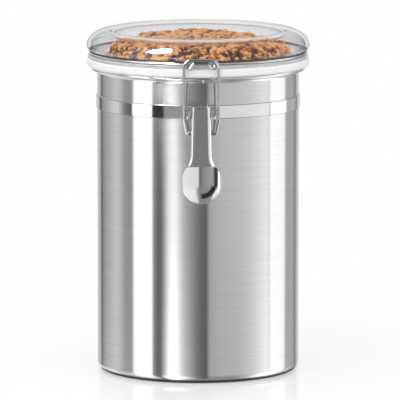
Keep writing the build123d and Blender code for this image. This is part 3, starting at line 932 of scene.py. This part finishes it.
def arch_share(tree, place, height, turn):
    """Share of the dark arch, which stands over the front left of the ring's level row."""
    ray = vector_maths(tree, "SUBTRACT", place, ARCH_CENTRE).outputs["Vector"]
    unit = vector_maths(tree, "NORMALIZE", ray).outputs["Vector"]
    cosine = vector_maths(tree, "DOT_PRODUCT", unit, ARCH_AXIS).outputs["Value"]
    hoop = window(tree, cosine, *ARCH_COSINES, ARCH_COSINE_SOFT)
    left, right = ARCH_AZIMUTHS
    across = window(tree, turn, turn_share(left), turn_share(right), ARCH_AZIMUTH_SOFT)
    above = graded(tree, height, HIGH_EDGE[0], HIGH_EDGE[0] + ARCH_FOOT_SOFT)
    return maths(tree, "MULTIPLY", maths(tree, "MULTIPLY", hoop, across), above)


def ring_radiance(tree):
    """Radiance of the ring by azimuth and height."""
    place = node(tree, "ShaderNodeTexCoord").outputs["Object"]
    split = node(tree, "ShaderNodeSeparateXYZ")
    tree.links.new(place, split.inputs[0])
    side, height = split.outputs["X"], split.outputs["Z"]
    forward = maths(tree, "MULTIPLY", split.outputs["Y"], -1.0)
    turn = graded(tree, maths(tree, "ARCTAN2", side, forward), -pi, pi)
    rows = [
        ramp(tree, turn, [(turn_share(azimuth), radiance) for azimuth, radiance in stops])
        for stops in (RING_TABLE, RING_LEVEL, RING_HIGH)
    ]
    lit = rows[0]
    for row, edge in zip(rows[1:], (TABLE_EDGE, HIGH_EDGE)):
        lit = mixed_colour(tree, graded(tree, height, *edge), lit, row)
    below = graded(tree, height, LOW_EDGE[1], LOW_EDGE[0])
    lit = mixed_colour(tree, below, lit, grey(LOW_RADIANCE))
    return mixed_colour(tree, arch_share(tree, place, height, turn), lit, grey(ARCH_RADIANCE))


def make_ring():
    """Ring of cards from dark to bright round the table, which only metal and gloss show."""
    material, tree = bare_material("studio_cards")
    glow = node(tree, "ShaderNodeEmission", Strength=1.0)
    tree.links.new(ring_radiance(tree), glow.inputs["Color"])
    show(tree, glow)
    verts, faces = [], []
    for i in range(RING_STEPS):
        a, j = 2 * pi * i / RING_STEPS, (i + 1) % RING_STEPS
        verts += [(RING_R * cos(a), RING_R * sin(a), z) for z in RING_HEIGHTS]
        faces.append((2 * i, 2 * j, 2 * j + 1, 2 * i + 1))
    cards = studio_mesh("studio_cards", verts, faces, material)
    only_in_gloss(cards)


def make_card(name, verts, faces, radiance):
    """Studio card of one grey, which only metal and gloss show."""
    material, tree = bare_material(name)
    show(tree, node(tree, "ShaderNodeEmission", Color=grey(radiance), Strength=1.0))
    card = studio_mesh(name, verts, faces, material)
    only_in_gloss(card)


def make_key():
    """Small bright oval card over the lid's front left, which only its round rim throws to the camera."""
    turns = [2 * pi * i / KEY_STEPS for i in range(KEY_STEPS)]
    places = [(KEY_TURN, KEY_RISE)]
    places += [(KEY_TURN + KEY_TURN_REACH * cos(a), KEY_RISE + KEY_RISE_REACH * sin(a)) for a in turns]
    verts = []
    for turn, rise in places:
        across, up = radians(turn), radians(rise)
        way = Vector((sin(across) * cos(up), -cos(across) * cos(up), sin(up)))
        verts.append(tuple(Vector(KEY_CENTRE) + way * KEY_R))
    faces = [(0, 1 + i, 1 + (i + 1) % KEY_STEPS) for i in range(KEY_STEPS)]
    make_card("studio_key", verts, faces, KEY_RADIANCE)


def make_contact_shade():
    """Dark card right under the jar, which the lowest edge of its base shows as a thin line of painted
    shade.
    """
    verts, faces = disc(CONTACT_R, CONTACT_Z)
    make_card("studio_contact_shade", verts, faces, CONTACT_SHADE_RADIANCE)


def make_studio():
    """Camera, light, cards and floor."""
    make_camera()
    make_world()
    make_ring()
    make_key()
    make_contact_shade()
    make_lamp()
    make_floor()


# Jar
def dress(node_name, material):
    """CAD node with a better material."""
    piece = NODES[node_name]
    piece.data.materials.clear()
    piece.data.materials.append(material)


def make_jar():
    """Turned pieces that stand for the round CAD nodes, and the sugar inside."""
    make_shell(brushed_steel("brushed_body_steel"))
    make_band(
        polished_steel("polished_strap_steel", tint=0.86, rough=0.05, wear=0.05),
        # Dark steel for the strap's edges, as painted shade.
        polished_steel("strap_edge_shade_steel", tint=0.3, rough=0.15, wear=0.1),
    )
    make_seal(milky_silicone("seal_silicone"))
    make_lid([
        clear_acrylic("cover_panel_acrylic", PANEL_EDGE_SHADE_TONES, gloss_share=0.1, level_share=0.01),
        satin_acrylic("cover_flange_acrylic", low=0.5, high=0.76),
        clear_acrylic("cover_rim_acrylic", RIM_EDGE_SHADE_TONES, gloss_share=0.8, level_share=0.042),
        clear_acrylic("cover_fold_shade_acrylic", FOLD_SHADE_TONES, gloss_share=1.0, level_share=0.08),
        painted_line_acrylic("cover_ridge_highlight_acrylic", RIDGE_HIGHLIGHT_COLOUR, clear_share=0.05),
        painted_line_acrylic("cover_lip_shadow_acrylic", LIP_SHADOW_COLOUR, clear_share=0.1),
        # Painted light: a lighter copy of the flange's satin for the inside of the lid's neck.
        satin_acrylic("cover_neck_lit_acrylic", low=0.84, high=0.94),
    ])
    make_sugar(brown_sugar("heaped_sugar"))


def dress_fittings():
    """Polished steels of the wires, the lever and its brackets."""
    sheet = polished_steel("bracket_sheet_steel", tint=0.8, rough=0.12, wear=0.1)
    dress("latch_bracket", sheet)
    dress("hinge_bracket", sheet)
    dress("lid_ring_wire", polished_steel("ring_wire_steel", tint=0.5, rough=0.12, wear=0.08))
    dress("bail_wire", polished_steel("bright_wire_steel", tint=0.5, rough=0.06, wear=0.06))
    dress("latch_lever", polished_steel("pressed_lever_steel", tint=0.93, rough=0.07, wear=0.06))
    dress("lever_pin", polished_steel("pin_steel", tint=0.78, rough=0.1, wear=0.1))


def main():
    make_studio()
    make_jar()
    dress_fittings()
    bpy.context.scene.view_settings.view_transform = "Standard"


main()
